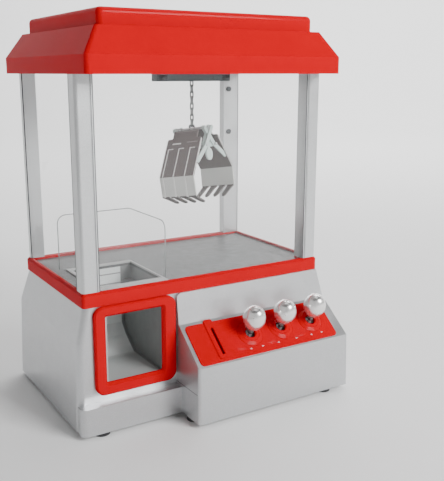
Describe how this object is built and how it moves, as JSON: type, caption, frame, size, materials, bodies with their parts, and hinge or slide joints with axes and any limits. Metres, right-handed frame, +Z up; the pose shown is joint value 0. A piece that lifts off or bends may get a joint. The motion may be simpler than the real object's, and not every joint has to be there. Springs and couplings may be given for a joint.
{
  "type": "claw crane machine",
  "caption": "Table-top claw crane toy: red roof and band, silver base, clear windows, levers, a two-jaw claw on a travelling crane, and a prize chute with a front opening.",
  "frame": {"origin": "centre of the footprint, on the surface that the feet stand on", "axes": "+X to the right seen from the front, +Y towards the back, +Z up"},
  "size_m": [0.27, 0.231, 0.364],
  "materials": {
    "silver_plastic": "satin silver-grey moulding",
    "grey_plastic": "matt grey moulding",
    "red_plastic": "gloss red moulding",
    "black_rubber": "matt black rubber",
    "steel_screw": "dark zinc plate",
    "satin_silver": "satin silver plating",
    "bright_steel": "bright ground steel",
    "deck_grey": "dark silver-grey moulding",
    "clear_sheet": "clear plastic sheet",
    "post_silver": "light silver-grey moulding",
    "slate_plastic": "slate grey moulding",
    "white_plastic": "white acetal",
    "motor_metal": "plated motor can",
    "dark_chain": "dark steel",
    "claw_grey": "grey-green moulding",
    "claw_shell": "dark and light grey moulding",
    "cell_jacket": "printed metal jacket, no text",
    "board_green": "green laminate",
    "speaker_black": "black paper and steel",
    "black_plastic": "matt black moulding"
  },
  "bodies": {
    "cabinet": {"base_feet": "black_rubber", "base_plate": "grey_plastic", "base_shell": "silver_plastic", "batteries": "cell_jacket", "battery_box": "grey_plastic", "battery_contacts": "bright_steel", "case_screws": "steel_screw", "ceiling_frame": "grey_plastic", "chute_collar": "grey_plastic", "chute_guard": "clear_sheet", "circuit_board": "board_green", "coin_bin": "grey_plastic", "control_fascia": "red_plastic", "control_housing": "silver_plastic", "deck_tray": "deck_grey", "door_frame": "red_plastic", "front_posts": "post_silver", "front_window": "clear_sheet", "lever_boots": "red_plastic", "lever_sockets": "grey_plastic", "prize_chute": "grey_plastic", "rear_left_post": "post_silver", "rear_right_post": "post_silver", "rim_band": "red_plastic", "roof_shell": "red_plastic", "side_racks": "white_plastic", "side_rods": "bright_steel", "side_windows": "clear_sheet", "speaker": "speaker_black", "switch_case": "grey_plastic"},
    "bridge": {"bridge_blocks": "slate_plastic", "bridge_rods": "bright_steel", "bridge_rack": "white_plastic", "bridge_motor": "motor_metal"},
    "drive_axle": {"bridge_axle": "bright_steel", "bridge_pinions": "white_plastic"},
    "trolley": {"trolley_frame": "slate_plastic", "trolley_motor": "motor_metal", "hoist_motor": "motor_metal"},
    "trolley_wheel": {"trolley_pinion": "white_plastic"},
    "hoist_wheel": {"chain_wheel": "white_plastic"},
    "hook": {"lift_chain": "dark_chain", "claw_swivel": "dark_chain"},
    "claw": {"claw_head": "claw_grey", "claw_pins": "bright_steel"},
    "claw_right": {"right_jaw": "claw_shell", "right_jaw_arms": "claw_grey"},
    "claw_left": {"left_jaw": "claw_shell", "left_jaw_arms": "claw_grey"},
    "lever_1": {"lever_stem_1": "bright_steel", "lever_knob_1": "satin_silver"},
    "lever_2": {"lever_stem_2": "bright_steel", "lever_knob_2": "satin_silver"},
    "lever_3": {"lever_stem_3": "bright_steel", "lever_knob_3": "satin_silver"},
    "loading_door": {"rear_door": "clear_sheet"},
    "token_door": {"coin_door": "grey_plastic"},
    "cell_door": {"battery_door": "grey_plastic"},
    "token_trip": {"coin_trip": "bright_steel"},
    "power_slider": {"switch_knob": "black_plastic"}
  },
  "joints": [
    {"name": "bridge_travel", "type": "slide", "parent": "cabinet", "child": "bridge", "axis": [0, 1, 0], "range_m": [-0.009, 0.032]},
    {"name": "drive_axle_spin", "type": "hinge", "parent": "bridge", "child": "drive_axle", "pos_m": [0, 0.015, 0.3225], "axis": [1, 0, 0], "range_deg": [-420, 165]},
    {"name": "trolley_travel", "type": "slide", "parent": "bridge", "child": "trolley", "axis": [-1, 0, 0], "range_m": [-0.04, 0.083]},
    {"name": "trolley_wheel_spin", "type": "hinge", "parent": "trolley", "child": "trolley_wheel", "pos_m": [0, -0.0233, 0.3365], "axis": [0, 1, 0], "range_deg": [-1075, 565]},
    {"name": "claw_lift", "type": "slide", "parent": "trolley", "child": "hook", "axis": [0, 0, 1], "range_m": [-0.045, 0.009]},
    {"name": "hoist_wheel_spin", "type": "hinge", "parent": "trolley", "child": "hoist_wheel", "pos_m": [0.0302, -0.005, 0.3475], "axis": [0, 1, 0], "range_deg": [-262, 60]},
    {"name": "claw_twist", "type": "hinge", "parent": "hook", "child": "claw", "pos_m": [0.02, -0.005, 0.26], "axis": [-0.0687, 0.119, 0.9905], "range_deg": [-180, 180]},
    {"name": "jaw_close", "type": "hinge", "parent": "claw", "child": "claw_right", "pos_m": [0.02903, -0.00264, 0.24217], "axis": [-0.4953, 0.8578, -0.1374], "range_deg": [-10, 20.5]},
    {"name": "left_jaw_close", "type": "hinge", "parent": "claw", "child": "claw_left", "pos_m": [0.01344, -0.01164, 0.24217], "axis": [0.4953, -0.8578, 0.1374], "range_deg": [-10, 20.5]},
    {"name": "lever_1_tilt", "type": "hinge", "parent": "cabinet", "child": "lever_1", "pos_m": [0.0285, -0.09469, 0.06723], "axis": [0, 0.7751, 0.6319], "range_deg": [-12, 12], "stiffness_Nm_per_rad": 0.08},
    {"name": "lever_2_tilt", "type": "hinge", "parent": "cabinet", "child": "lever_2", "pos_m": [0.064, -0.09469, 0.06723], "axis": [0, 0.7751, 0.6319], "range_deg": [-12, 12], "stiffness_Nm_per_rad": 0.08},
    {"name": "lever_3_tilt", "type": "hinge", "parent": "cabinet", "child": "lever_3", "pos_m": [0.1, -0.09469, 0.06723], "axis": [0, 0.7751, 0.6319], "range_deg": [-12, 12], "stiffness_Nm_per_rad": 0.08},
    {"name": "rear_door_swing", "type": "hinge", "parent": "cabinet", "child": "loading_door", "pos_m": [0.1023, 0.0765, 0.22], "axis": [0, 0, -1], "range_deg": [0, 100]},
    {"name": "coin_door_slide", "type": "slide", "parent": "cabinet", "child": "token_door", "axis": [1, 0, 0], "range_m": [0, 0.03]},
    {"name": "battery_door_slide", "type": "slide", "parent": "cabinet", "child": "cell_door", "axis": [1, 0, 0], "range_m": [0, 0.065]},
    {"name": "coin_trip_swing", "type": "hinge", "parent": "cabinet", "child": "token_trip", "pos_m": [-0.0075, -0.075, 0.041], "axis": [1, 0, 0], "range_deg": [0, 25], "stiffness_Nm_per_rad": 0.001},
    {"name": "power_switch_slide", "type": "slide", "parent": "cabinet", "child": "power_slider", "axis": [1, 0, 0], "range_m": [0, 0.006]}
  ],
  "couplings": [
    {"joint": "drive_axle_spin", "follows": "bridge_travel", "rad_per_m": -222.22},
    {"joint": "trolley_wheel_spin", "follows": "trolley_travel", "rad_per_m": -222.22},
    {"joint": "hoist_wheel_spin", "follows": "claw_lift", "rad_per_m": 98.039},
    {"joint": "left_jaw_close", "follows": "jaw_close", "ratio": 1}
  ]
}
